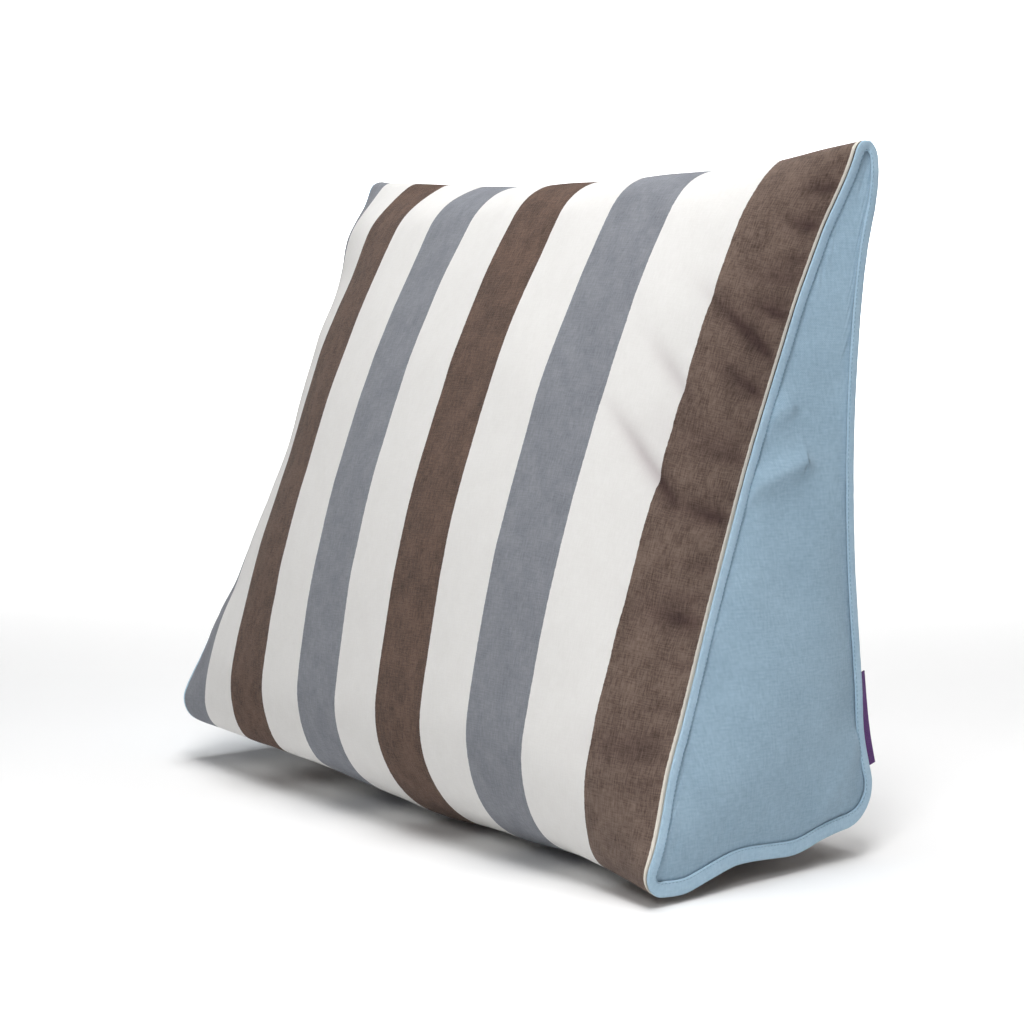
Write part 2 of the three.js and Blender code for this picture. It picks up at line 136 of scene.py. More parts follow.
# Small puckers close to the seams, which only the scene has.
PUCKERS = [
    Crease(1, 24, 0, 30, 4, 1.6, 0.3),
    Crease(1, 43, 0, 36, 4, 2.8, 0.1),
    Crease(1, 60, 0, 30, 4, 1.4, 0.2),
    Crease(1, 73, 0, 42, 4.5, 3, 0),
    Crease(1, 97, 0, 34, 4, 2.4, 0.1),
    Crease(1, 114, 0, 52, 5, 2, 0.1),
    Crease(1, 128, 0, 34, 4, 1.4, 0.2),
    Crease(1, 142, 0, 46, 4, 3.2, -0.15),
    Crease(1, 175, 0, 84, 4.5, 3.4, -0.6),
    Crease(1, 202, 0, 50, 4.5, 2.8, -0.4),
    Crease(1, 222, 0, 36, 4, 1.6, 0),
    Crease(1, 250, 0, 38, 5, 2.6, -0.1),
    Crease(1, 258, 48, 112, 6, 1.6, -0.85),
    Crease(1, 272, 0, 34, 4, 1.5, 0.1),
    Crease(1, 293, 0, 56, 5, 2.8, -0.05),
    Crease(1, 327, 38, 132, 5.5, 3, -0.88),
    Crease(1, 331, 0, 48, 5, 2.2, -0.05),
    Crease(1, 352, 0, 60, 5, 1.8, 0),
    Crease(1, 371, 0, 60, 6, 2.6, -0.1),
    Crease(1, 402, 0, 38, 5, 1.8, -0.1),
    Crease(1, 430, 0, 46, 5, 1.6, 0.2),
    Crease(1, 486, 0, 40, 5, 1.8, 0.2),
    Crease(1, 850, 0, 40, 5, 1.6, 0.2),
    Crease(1, 925, 0, 44, 5, 2.0, -0.2),
    Crease(1, 968, 0, 36, 5, 1.5, 0.1),
    Crease(1, 1052, 0, 46, 5, 1.8, 0.2),
    Crease(1, 1096, 0, 38, 5, 1.6, -0.2),
    Crease(-1, 30, 0, 30, 5, 2.2, 0.3),
    Crease(-1, 92, 0, 44, 5, 2.5, 0.3),
    Crease(-1, 158, 0, 40, 5, 2.5, 0.2),
    Crease(-1, 226, 0, 48, 5, 2.8, 0.2),
    Crease(-1, 298, 0, 40, 5, 2.2, -0.1),
    Crease(-1, 366, 0, 44, 5, 2.5, 0.1),
    Crease(-1, 440, 0, 40, 5, 2.2, 0.2),
    Crease(-1, 870, 0, 44, 5, 2.5, 0.1),
    Crease(-1, 960, 0, 40, 5, 2.5, 0.1),
    Crease(-1, 1010, 0, 44, 5, 2.2, -0.2),
    Crease(-1, 1100, 0, 40, 5, 2.5, 0.2),
    Crease(-1, 1160, 0, 36, 5, 2.1, 0.2),
]
PANEL_FOLDS = [
    Fold(1, -26, 254, 50, 286, 8.5, 5.5),
    Fold(1, -10, 298, 42, 326, 7.5, 4),
    Fold(1, -14, 278, 46, 305, 8, -1),
    Fold(1, 30, 180, 66, 330, 22, -2.5),
    Fold(1, 54, 36, 92, 84, 13, 3.5),
    Fold(1, -60, 60, 10, 88, 22, 1.5),
    Fold(-1, -20, 236, 52, 262, 15, 3),
    Fold(-1, 48, 40, 88, 96, 14, 3),
]

CREASE_SHARE, PUCKER_SHARE = 0.34, 0.38  # of the depths in the tables, on this finer grid
CREASE_FADE = 9  # creases and puckers are flat at the seam and whole from about twice this far
CREASE_SHADE, PUCKER_SHADE = 0.085, 0.19  # painted shade in the creases: darkening of the cloth's colour for each millimetre of depth
LUMP_FADE = 12
LARGE_LUMP, LARGE_LUMP_SIZE = 1.6, 74
SMALL_LUMP, SMALL_LUMP_SIZE = 0.5, 29
GATHER, GATHER_SIZE = 0.2, 7.5

AROUND = 424
COLUMNS = 92  # from the middle of the wrap to a seam
COLUMN_CROWDING = 0.9
ARC_STEPS = 64
SIDE_STEPS = 192
TAKE_UP_ROUNDS = 8
PANEL_RINGS = 44
END_RING_STEP = 2  # the wrap's end under a panel keeps every second ring
END_DEPTH = 3  # how far the wrap's end lies under its panel
WELT_SIDES = 20
LABEL_ROWS = 18
STITCH_SIDES, STITCH_SECTIONS = 6, 5
SETTLING_ROUNDS = 1200
SETTLED_ENOUGH = 1e-10


def outline_of(corners, sags):
    """Smooth outline round three circles from the middle of the ridge, as complex numbers y + iz."""
    centres = [complex(c.y, c.z) for c in corners]
    count = len(corners)
    normals, turns = [], []
    for i, corner in enumerate(corners):
        span = centres[(i + 1) % count] - centres[i]
        lean = (corner.radius - corners[(i + 1) % count].radius) / abs(span)
        along = span / abs(span)
        normals.append(-1j * along * math.sqrt(1 - lean * lean) + along * lean)
        turns.append(4 * sags[i] / abs(span))
    points = []
    for i, corner in enumerate(corners):
        after = (i + 1) % count
        start_angle = np.angle(normals[i - 1]) + turns[i - 1]
        end_angle = np.angle(normals[i]) - turns[i]
        sweep = (end_angle - start_angle) % (2 * math.pi)
        angles = start_angle + sweep * np.arange(ARC_STEPS) / ARC_STEPS
        points.append(centres[i] + corner.radius * np.exp(1j * angles))
        arrival = np.angle(normals[i]) + turns[i]
        start = centres[i] + corner.radius * np.exp(1j * end_angle)
        end = centres[after] + corners[after].radius * np.exp(1j * arrival)
        handle = abs(start - end) / 3
        leaving = start + 1j * np.exp(1j * end_angle) * handle
        arriving = end - 1j * np.exp(1j * arrival) * handle
        t = np.arange(SIDE_STEPS) / SIDE_STEPS
        bezier = (1 - t) ** 3 * start + 3 * (1 - t) ** 2 * t * leaving
        points.append(bezier + 3 * (1 - t) * t**2 * arriving + t**3 * end)
    return np.roll(np.concatenate(points), -ARC_STEPS // 2)


def lengths_of(loop):
    steps = np.abs(np.diff(np.append(loop, loop[0])))
    return np.concatenate([[0], np.cumsum(steps)])


def at_shares(loop, shares):
    """Points of a closed loop at shares of its girth."""
    lengths = lengths_of(loop)
    return np.interp(shares * lengths[-1], lengths, np.append(loop, loop[0]))


def outward_of(loop):
    """Outward directions of closed loops that run along the last axis."""
    tangent = np.roll(loop, -1, axis=-1) - np.roll(loop, 1, axis=-1)
    return -1j * tangent / np.abs(tangent)


def fullness(swell, u):
    return np.maximum(1 - u**swell.squareness, 0) ** swell.steepness


def bell(off):
    return np.exp(-off * off)


def crease_depth(table, side, from_seam, down):
    depth = np.zeros_like(from_seam)
    for crease in table:
        if crease.side != side:
            continue
        share = np.clip((from_seam - crease.start) / (crease.reach - crease.start), 0, 1)
        along = np.sin(math.pi * np.sqrt(share)) ** 2
        off = (down - crease.down - crease.slant * from_seam) / crease.half_width
        depth += crease.depth * along * bell(off)
    return depth


def uneven(first, second, size, seed):
    """Smooth unevenness from -1 to 1 over two coordinates, with bumps of about this size."""
    flat = [
        noise.noise(Vector((a / size, b / size, seed)))
        for a, b in zip(first.ravel(), second.ravel())
    ]
    return np.reshape(flat, first.shape)


shares = np.arange(AROUND) / AROUND
middle = at_shares(outline_of(MIDDLE_CORNERS, MIDDLE_SAGS), shares)
girth = lengths_of(outline_of(MIDDLE_CORNERS, MIDDLE_SAGS))[-1]
down = shares * girth
widest = math.pi / 2 * COLUMN_CROWDING
columns = np.sin(widest * np.arange(COLUMNS + 1) / COLUMNS) / math.sin(widest)


def take_up(seam, edge):
    """How far the seam lies from the middle at each point, and the cloth's length up to each column."""
    half = CLOTH_WIDTH / 2
    deeper = np.diff(fullness(seam.depth, columns))
    higher = np.diff(fullness(seam.height, columns))
    gap = middle - edge
    rises = np.hypot(gap.real * deeper[:, None], gap.imag * higher[:, None])
    reach = np.full(len(edge), float(half))
    for _ in range(TAKE_UP_ROUNDS):
        steps = np.hypot(reach * np.diff(columns)[:, None], rises)
        along = np.concatenate([np.zeros((1, len(edge))), np.cumsum(steps, axis=0)])
        reach = reach * half / along[-1]
    return reach, along


def half_wrap(seam):
    """Rings of one half of the wrap, from its middle to the seam, with the distance from the seam."""
    edge = at_shares(outline_of(seam.corners, seam.sags), shares)
    rises = sum(w.rise * bell((down - w.down) / w.half_width) for w in WAVES if w.side == seam.side)
    edge = edge + outward_of(edge) * rises
    reach, along = take_up(seam, edge)
    depth = fullness(seam.depth, columns)[:, None]
    height = fullness(seam.height, columns)[:, None]
    y = edge.real + (middle - edge).real * depth
    z = edge.imag + (middle - edge).imag * height
    loops = y + 1j * z
    from_seam = CLOTH_WIDTH / 2 - along
    places = np.broadcast_to(down, loops.shape)
    creased = crease_depth(CREASES, seam.side, from_seam, places)
    puckered = crease_depth(PUCKERS, seam.side, from_seam, places)
    sunk = (CREASE_SHARE * creased + PUCKER_SHARE * puckered) * (1 - bell(from_seam / CREASE_FADE))
    across = seam.side * columns[:, None] * reach
    lumps = LARGE_LUMP * uneven(across, places, LARGE_LUMP_SIZE, 3.1)
    lumps += SMALL_LUMP * uneven(across, places, SMALL_LUMP_SIZE, 8.4)
    lumps *= 1 - np.exp(-from_seam / LUMP_FADE)
    gathers = bell((from_seam - 7) / 11) * uneven(from_seam * 0.4, places, GATHER_SIZE, 5.7 + seam.side)
    loops = loops + outward_of(loops) * (lumps + GATHER * gathers - sunk)
    loops = loops.real + 1j * np.maximum(loops.imag, 0)
    return {
        "side": seam.side,
        "middle": seam.panel_middle,
        "rings": loops,
        "x": across,
        "from_seam": from_seam,
        # painted shade: how much the depth of the creases and puckers darkens the cloth's colour
        "painted_crease_shade": np.clip(CREASE_SHADE * creased + PUCKER_SHADE * puckered, 0, 1),
        "edge": loops[-1],
        "edge_x": across[-1],
    }


def inset_loop(half, share):
    """The seam loop moved inwards in its own plane, by a share of the welt's width."""
    outward = outward_of(half["edge"])
    underneath = np.maximum(-outward.imag, 0) ** 2
    inset = share * (WELT_WIDTH + WELT_FLATTENING * underneath)
    return half["edge"] - outward * inset


def mesh_object(name, x, loop, faces, uv):
    """A mesh from the places x and y + iz in millimetres, with a map in metres of cloth."""
    points = np.stack([x, loop.real, loop.imag], axis=-1).reshape(-1, 3) + ORIGIN_SHIFT
    mesh = bpy.data.meshes.new(name)
    mesh.from_pydata((points * MM).tolist(), [], [list(face) for face in faces])
    layer = mesh.uv_layers.new(name="cloth")
    corners = np.empty(len(mesh.loops), np.int32)
    mesh.loops.foreach_get("vertex_index", corners)
    layer.uv.foreach_set("vector", uv(corners).astype(np.float32).ravel())
    mesh.polygons.foreach_set("use_smooth", [True] * len(mesh.polygons))
    made = bpy.data.objects.new(name, mesh)
    bpy.context.scene.collection.objects.link(made)
    return made


def band_faces(rings, count, closed=False):
    """Four sided faces between rings of count points, and from the last ring to the first if closed."""
    starts = [ring * count for ring in range(rings)]
    pairs = list(zip(starts, starts[1:] + starts[:1] if closed else starts[1:]))
    return [
        (a + i, a + (i + 1) % count, b + (i + 1) % count, b + i)
        for a, b in pairs
        for i in range(count)
    ]


def faces_to_tip(rings):
    """Faces between rings of points, and the fan that closes the last ring on one tip."""
    tip = rings * AROUND
    last = tip - AROUND
    fan = [(last + i, last + (i + 1) % AROUND, tip) for i in range(AROUND)]
    return band_faces(rings, AROUND), fan


def panel_surface(half):
    """Rings of points over an end inside its welt, at the balance of their pulls and the filling's push."""
    rim = inset_loop(half, SEAM_PLACE)
    lengths = lengths_of(rim)[:-1] / lengths_of(rim)[-1]
    sizes = np.linspace(1, 0.03, PANEL_RINGS)
    rings = []
    for size in sizes:
        spread = shares * (1 - size) + lengths * size
        rings.append(at_shares(rim, spread) * size + half["middle"] * (1 - size))
    rings[0] = rim
    loop = np.append(np.concatenate(rings), half["middle"])
    faces, fan = faces_to_tip(PANEL_RINGS)
    triangles = [t for a, b, c, d in faces for t in ((a, b, c), (a, c, d))] + fan
    x = settled(loop, np.array(triangles), half["edge_x"], half["side"] * PANEL_SWELL)
    inner = 1 - np.append(np.repeat(sizes, AROUND), 0)
    x = x + half["side"] * fold_rise(half["side"], loop) * (1 - np.exp(-inner / 0.06))
    return loop, x, faces + fan, inner


def settled(loop, triangles, rim_x, push):
    """x of each point where the pulls of the triangles round it balance the push. The rim comes first."""
    count = len(loop)
    weights, first, second = [], [], []
    load = np.zeros(count)
    for k in range(3):
        a, b, c = (triangles[:, (k + n) % 3] for n in range(3))
        to_b, to_c = loop[b] - loop[a], loop[c] - loop[a]
        double_area = np.abs(to_b.real * to_c.imag - to_b.imag * to_c.real)
        dot = to_b.real * to_c.real + to_b.imag * to_c.imag
        weights.append(dot / double_area / 2)
        first.append(b)
        second.append(c)
        load += np.bincount(a, push * double_area / 6, count)
    weights, first, second = map(np.concatenate, (weights, first, second))
    free = np.arange(count) >= len(rim_x)

    def pulls(x):
        flow = weights * (x[first] - x[second])
        return (np.bincount(first, flow, count) - np.bincount(second, flow, count)) * free

    total = np.bincount(first, weights, count) + np.bincount(second, weights, count)
    x = np.full(count, rim_x.mean())
    x[: len(rim_x)] = rim_x
    rest = load * free - pulls(x)
    ease = np.where(free, 1 / total, 0)
    step = ease * rest
    size = rest @ step
    for _ in range(SETTLING_ROUNDS):
        pulled = pulls(step)
        part = size / (step @ pulled)
        x += part * step
        rest -= part * pulled
        eased = ease * rest
        after = rest @ eased
        if after < SETTLED_ENOUGH:
            break
        step = eased + after / size * step
        size = after
    return x


def fold_rise(side, loop):
    rise = np.zeros(len(loop))
    for fold in PANEL_FOLDS:
        if fold.side != side:
            continue
        start, end = complex(fold.from_y, fold.from_z), complex(fold.to_y, fold.to_z)
        along = end - start
        share = np.clip(((loop - start) * along.conjugate()).real / abs(along) ** 2, 0, 1)
        rise += fold.rise * bell(np.abs(loop - start - share * along) / fold.half_width)
    return rise


# Materials

def node(tree, kind, inputs=(), **settings):
    """A node with its settings, and its inputs given as values or as the sockets they come from."""
    made = tree.nodes.new(kind)
    for key, value in settings.items():
        setattr(made, key, value)
    for key, value in dict(inputs).items():
        if isinstance(value, bpy.types.NodeSocket):
            tree.links.new(value, made.inputs[key])
        else:
            made.inputs[key].default_value = value
    return made


def maths(tree, operation, a, b=0.0, clamp=False):
    return node(tree, "ShaderNodeMath", {0: a, 1: b}, operation=operation, use_clamp=clamp).outputs[0]


def mixed(tree, share, a, b, blend="MIX"):
    inputs = {0: share, 6: a, 7: b}
    return node(tree, "ShaderNodeMix", inputs, data_type="RGBA", blend_type=blend).outputs[2]


def noise_at(tree, place, scale, detail=2.0, rough=0.5):
    inputs = {"Vector": place, "Scale": scale, "Detail": detail, "Roughness": rough}
    return node(tree, "ShaderNodeTexNoise", inputs).outputs["Fac"]


def spread(tree, value, low, high):
    """A value stretched so that low becomes 0 and high becomes 1, softly."""
    inputs = {0: value, 1: low, 2: high, 3: 0.0, 4: 1.0}
    return node(tree, "ShaderNodeMapRange", inputs, interpolation_type="SMOOTHSTEP").outputs[0]


def weighed(tree, *parts):
    """The sum of (value, weight) parts, kept from 0 to 1."""
    total = 0.0
    for value, weight in parts:
        inputs = {0: value, 1: weight, 2: total}
        total = node(tree, "ShaderNodeMath", inputs, operation="MULTIPLY_ADD").outputs[0]
    return maths(tree, "ADD", total, 0.0, clamp=True)


def scaled(tree, vector, x, y):
    inputs = {0: vector, 1: (x, y, 1)}
    return node(tree, "ShaderNodeVectorMath", inputs, operation="MULTIPLY").outputs[0]


def srgb(r, g, b):
    """A colour seen on a screen, 0 to 255, as linear light."""
    return tuple(((c / 255 + 0.055) / 1.055) ** 2.4 if c > 10 else c / 3295 for c in (r, g, b)) + (1,)


def cloth_nodes(name, thread, rough, sheen):
    """A plain weave: the material, its tree, its shader, and sockets for the place on the cloth,
    the thread on top and its height."""
    material = bpy.data.materials.new(name)
    material.use_nodes = True
    tree = material.node_tree
    shader = tree.nodes["Principled BSDF"]
    shader.inputs["Roughness"].default_value = rough
    shader.inputs["Specular IOR Level"].default_value = 0.25
    shader.inputs["Sheen Weight"].default_value = sheen
    shader.inputs["Sheen Roughness"].default_value = 0.6
    place = node(tree, "ShaderNodeUVMap", uv_map="cloth").outputs[0]
    wobble = noise_at(tree, place, 90, 2)
    threads = scaled(tree, place, 1 / thread, 1 / thread)
    shift = maths(tree, "MULTIPLY", wobble, 1.6)
    threads = node(tree, "ShaderNodeVectorMath", {0: threads, 1: shift}, operation="ADD").outputs[0]
    parts = node(tree, "ShaderNodeSeparateXYZ", {0: threads}).outputs
    ridges = []
    for axis in (0, 1):
        turn = maths(tree, "MULTIPLY", parts[axis], math.pi)
        ridges.append(maths(tree, "ABSOLUTE", maths(tree, "SINE", turn)))
    flat = node(tree, "ShaderNodeCombineXYZ", {0: parts[0], 1: parts[1], 2: 0.5}).outputs[0]
    over = node(tree, "ShaderNodeTexChecker", {"Vector": flat, "Scale": 1.0}).outputs["Fac"]
    inputs = {0: over, 2: ridges[0], 3: ridges[1]}
    height = node(tree, "ShaderNodeMix", inputs, data_type="FLOAT").outputs[0]
    return material, tree, shader, place, over, height


def finish_cloth(tree, shader, colour, height, relief):
    tree.links.new(colour, shader.inputs["Base Color"])
    bump = node(tree, "ShaderNodeBump", {"Strength": 0.7, "Distance": relief, "Height": height})
    tree.links.new(bump.outputs[0], shader.inputs["Normal"])


# Metres of the striped cloth: a thread, the height of its weave and the unevenness of a stripe's edge.
STRIPED_THREAD, STRIPED_RELIEF, STRIPE_FRAY = 0.00062, 0.00022, 0.0007
# The colour that the painted shade in the creases multiplies the cloth by.
PAINTED_SHADE_TINT = (0.42, 0.34, 0.37, 1)

Stripe = namedtuple("Stripe", "colour until")
# The woven stripes, each until so many millimetres from the right seam.
STRIPES = [
    Stripe("cream", 1.1),
    Stripe("brown", 58.2),
    Stripe("white", 113.7),
    Stripe("grey", 169.2),
    Stripe("white", 224.7),
    Stripe("dark_brown", 280.2),
    Stripe("white", 335.7),
    Stripe("grey", 391.2),
    Stripe("white", 446.7),
    Stripe("dark_brown", 502.2),
    Stripe("white", 557.7),
    Stripe("grey", 600),
]
# Yarn colours, how much the two yarns mix (mottle), and how much painted shade darkens a stripe in its
# creases.
YARNS = {
    "warp": {
        "cream": srgb(214, 208, 196),
        "white": srgb(224, 222, 219),
        "brown": srgb(58, 42, 36),
        "dark_brown": srgb(36, 23, 17),
        "grey": srgb(104, 107, 115),
    },
    "weft": {
        "cream": srgb(236, 231, 220),
        "white": srgb(238, 237, 235),
        "brown": srgb(136, 116, 104),
        "dark_brown": srgb(122, 95, 80),
        "grey": srgb(150, 153, 160),
    },
    "mottle": {
        "cream": (0.5, 0.5, 0.5, 1),
        "white": (0.6, 0.6, 0.6, 1),
        "brown": (1, 1, 1, 1),
        "dark_brown": (0.9, 0.9, 0.9, 1),
        "grey": (0.8, 0.8, 0.8, 1),
    },
    "painted_shade_share": {
        "cream": (0.3, 0.3, 0.3, 1),
        "white": (0.5, 0.5, 0.5, 1),
        "brown": (1, 1, 1, 1),
        "dark_brown": (1, 1, 1, 1),
        "grey": (0.6, 0.6, 0.6, 1),
    },
}


def striped_material():
    material, tree, shader, place, over, height = cloth_nodes("striped_cloth", STRIPED_THREAD, 0.9, 0.08)
    across = node(tree, "ShaderNodeSeparateXYZ", {0: place}).outputs[0]
    ragged = noise_at(tree, scaled(tree, place, 900, 260), 1, 1)
    fray = maths(tree, "MULTIPLY", maths(tree, "SUBTRACT", ragged, 0.5), STRIPE_FRAY)
    edge = maths(tree, "ADD", across, fray)
    share = maths(tree, "DIVIDE", edge, CLOTH_WIDTH * MM)
    warp, weft, mottle = (stripes(tree, share, key) for key in ("warp", "weft", "mottle"))
    slub = spread(tree, noise_at(tree, scaled(tree, place, 1250, 110), 1, 2, 0.6), 0.3, 0.7)
    cross_slub = spread(tree, noise_at(tree, scaled(tree, place, 110, 1250), 1, 2, 0.6), 0.3, 0.7)
    cloudy = spread(tree, noise_at(tree, scaled(tree, place, 60, 38), 1, 3, 0.6), 0.3, 0.7)
    fleck = weighed(tree, (slub, 0.36), (cross_slub, 0.28), (cloudy, 0.26), (over, 0.1))
    evened = maths(tree, "SUBTRACT", 1.0, mottle)
    threads = weighed(tree, (maths(tree, "MULTIPLY", fleck, mottle), 1), (evened, 0.5))
    colour = mixed(tree, threads, warp, weft)
    # Painted shade: the cloth's colour is darkened in its creases, by their depth and by how much each
    # stripe takes.
    painted_crease_shade = node(tree, "ShaderNodeAttribute", attribute_name="painted_crease_shade").outputs["Fac"]
    painted_shade_share = maths(tree, "MULTIPLY", painted_crease_shade, stripes(tree, share, "painted_shade_share"), clamp=True)
    colour = mixed(tree, painted_shade_share, colour, PAINTED_SHADE_TINT, "MULTIPLY")
    finish_cloth(tree, shader, colour, height, STRIPED_RELIEF)
    return material


def stripes(tree, share, kind):
    """The stripes as a ramp over the cloth's width, for one row of the yarns."""
    ramp = node(tree, "ShaderNodeValToRGB", {0: share})
    ramp.color_ramp.interpolation = "CONSTANT"
    elements = ramp.color_ramp.elements
    starts = [0] + [stripe.until / CLOTH_WIDTH for stripe in STRIPES[:-1]]
    elements.remove(elements[1])
    for start, stripe in zip(starts, STRIPES):
        element = elements.new(start) if start else elements[0]
        element.color = YARNS[kind][stripe.colour]
    return ramp.outputs[0]


# Metres of a thread and of the height of its weave.
PLAIN_WEAVE, RIBBON_WEAVE = (0.0006, 0.0002), (0.0003, 0.0001)


def plain_material(name, dark, light, thread, relief, rough=0.85, sheen=0.15):
    material, tree, shader, place, over, height = cloth_nodes(name, thread, rough, sheen)
    slub = noise_at(tree, scaled(tree, place, 150, 700), 1, 3, 0.6)
    cross = noise_at(tree, scaled(tree, place, 700, 150), 1, 3, 0.6)
    cloudy = noise_at(tree, place, 30, 4, 0.6)
    slubs = maths(tree, "ADD", maths(tree, "MULTIPLY", slub, 0.8), maths(tree, "MULTIPLY", cross, 0.8))
    uneven_yarn = maths(tree, "ADD", slubs, maths(tree, "MULTIPLY", cloudy, 0.6))
    uneven_yarn = maths(tree, "SUBTRACT", uneven_yarn, 0.75)
    threads = maths(tree, "ADD", maths(tree, "MULTIPLY", over, 0.2), uneven_yarn, clamp=True)
    finish_cloth(tree, shader, mixed(tree, threads, dark, light), height, relief)
    return material


def thread_material(name, colour):
    material = bpy.data.materials.new(name)
    material.use_nodes = True
    tree = material.node_tree
    shader = tree.nodes["Principled BSDF"]
    place = node(tree, "ShaderNodeNewGeometry").outputs["Position"]
    twist = noise_at(tree, place, 900, 2)
    lighter = tuple(min(c * 1.35, 1) for c in colour[:3]) + (1,)
    tree.links.new(mixed(tree, twist, colour, lighter), shader.inputs["Base Color"])
    shader.inputs["Roughness"].default_value = 0.6
    return material


# Pieces

right, left = half_wrap(RIGHT), half_wrap(LEFT)


def make_wrap(material):
    """The wrap with its filling: rings from the left seam to the right one, and an end under each panel."""
    loops = np.concatenate([left["rings"][::-1], right["rings"][1:]])
    x = np.concatenate([left["x"][::-1], right["x"][1:]])
    from_right = np.concatenate([CLOTH_WIDTH - left["from_seam"][::-1], right["from_seam"][1:]])
    rings = len(loops)
    faces = band_faces(rings, AROUND)
    wrap_corners = len(faces) * 4
    loop_parts, x_parts = [loops.ravel()], [x.ravel()]
    offset = loops.size
    for half, edge_ring, flip in ((left, 0, True), (right, rings - 1, False)):
        half["panel"] = panel_surface(half)
        surface, surface_x = half["panel"][:2]
        kept = np.arange(0, PANEL_RINGS, END_RING_STEP)
        points = np.append((kept[:, None] * AROUND + np.arange(AROUND)).ravel(), len(surface) - 1)
        surface, surface_x = surface[points], surface_x[points]
        bands, fan = faces_to_tip(len(kept))
        end_faces = bands + fan
        loop_parts.append(surface)
        x_parts.append(surface_x - half["side"] * END_DEPTH)
        edge = edge_ring * AROUND
        new = [
            (edge + i, edge + (i + 1) % AROUND, offset + (i + 1) % AROUND, offset + i)
            for i in range(AROUND)
        ]
        new += [tuple(offset + n for n in face) for face in end_faces]
        faces += [face[::-1] for face in new] if flip else new
        offset += len(surface)
    all_x, all_loop = np.concatenate(x_parts), np.concatenate(loop_parts)

    def cloth_map(corners):
        vertex = np.minimum(corners, loops.size - 1)
        u = from_right.ravel()[vertex]
        v = (vertex % AROUND) / AROUND * girth
        quads = v[:wrap_corners].reshape(-1, 4)
        quads[(np.ptp(quads, axis=1) > girth / 2)[:, None] & (quads == 0)] = girth
        v[:wrap_corners] = quads.ravel()
        ends = corners >= loops.size
        u = np.where(ends, all_loop[corners].real, u)
        v = np.where(ends, all_loop[corners].imag, v)
        return np.stack([u, v], axis=-1) * MM

    made = mesh_object("striped_wrap", all_x, all_loop, faces, cloth_map)
    # Painted shade in the creases, kept on the mesh for the cloth's colour.
    painted_crease_shades = np.zeros(len(all_x), np.float32)
    painted_crease_shades[: loops.size] = np.concatenate([left["painted_crease_shade"][::-1], right["painted_crease_shade"][1:]]).ravel()
    made.data.attributes.new("painted_crease_shade", "FLOAT", "POINT").data.foreach_set("value", painted_crease_shades)
    made.data.materials.append(material)
    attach(made, "root")
    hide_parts("cushion_body")


def make_panel(name, half, node_name, material):
    """A cloth panel stretched in its rim, slightly uneven, most of all near its welt."""
    loop, x, faces, inner = half["panel"]
    place_down = np.resize(down, len(loop))
    near_rim = np.exp(-((inner - 0.08) / 0.06) ** 2) * (1 - np.exp(-inner / 0.03))
    small = uneven(inner * 40, place_down, 9, 2.2 + half["side"]) * near_rim * 0.9
    soft = uneven(loop.real, loop.imag, 38, 6.6 + half["side"]) * 1.2 * (1 - np.exp(-inner / 0.08))
    x = x + half["side"] * (PANEL_GAP + small + soft)
    points = np.stack([loop.real, loop.imag], axis=-1) * MM
    made = mesh_object(name, x, loop, faces, lambda corners: points[corners])
    made.data.materials.append(material)
    if half["side"] < 0:
        made.data.flip_normals()
    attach(made, "root")
    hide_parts(node_name)


def welt_lift(half, angle):
    """How far the surface of a welt stands off the seam, at an angle round its section."""
    share, rise = (1 - math.cos(angle)) / 2, math.sin(angle)
    if rise <= 0:
        return np.full(AROUND, WELT_GAP + WELT_HEIGHT / 2 * (1 + rise))
    pull = 0.35 * uneven(np.full(AROUND, share * 5.0), down, 6.5, 1.4 + half["side"])
    pull = pull + 0.4 * uneven(np.full(AROUND, 2.0), down, 40, 4.4 + half["side"])
    return WELT_GAP + WELT_HEIGHT / 2 + (WELT_HEIGHT / 2 + pull) * rise**WELT_ROUNDNESS


def make_welt(name, half, node_name, material):
    """A raised band all round an end, of an oval section with a square foot along the seam."""
    loops, xs, across = [], [], []
    for k in range(WELT_SIDES):
        angle = 2 * math.pi * k / WELT_SIDES
        reach = math.cos(angle)
        if math.sin(angle) < 0 < reach:
            reach = math.sqrt(reach)
        loops.append(inset_loop(half, (1 - reach) / 2))
        xs.append(half["edge_x"] + half["side"] * welt_lift(half, angle))
        across.append(np.full(AROUND, k / WELT_SIDES * WELT_GIRTH))
    loop, x = np.concatenate(loops), np.concatenate(xs)
    places = np.stack([np.concatenate(across), np.tile(down, WELT_SIDES)], axis=-1) * MM
    faces = band_faces(WELT_SIDES, AROUND, closed=True)
    made = mesh_object(name, x, loop, faces, lambda corners: places[corners])
    made.data.materials.append(material)
    if half["side"] < 0:
        made.data.flip_normals()
    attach(made, "root")
    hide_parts(node_name)


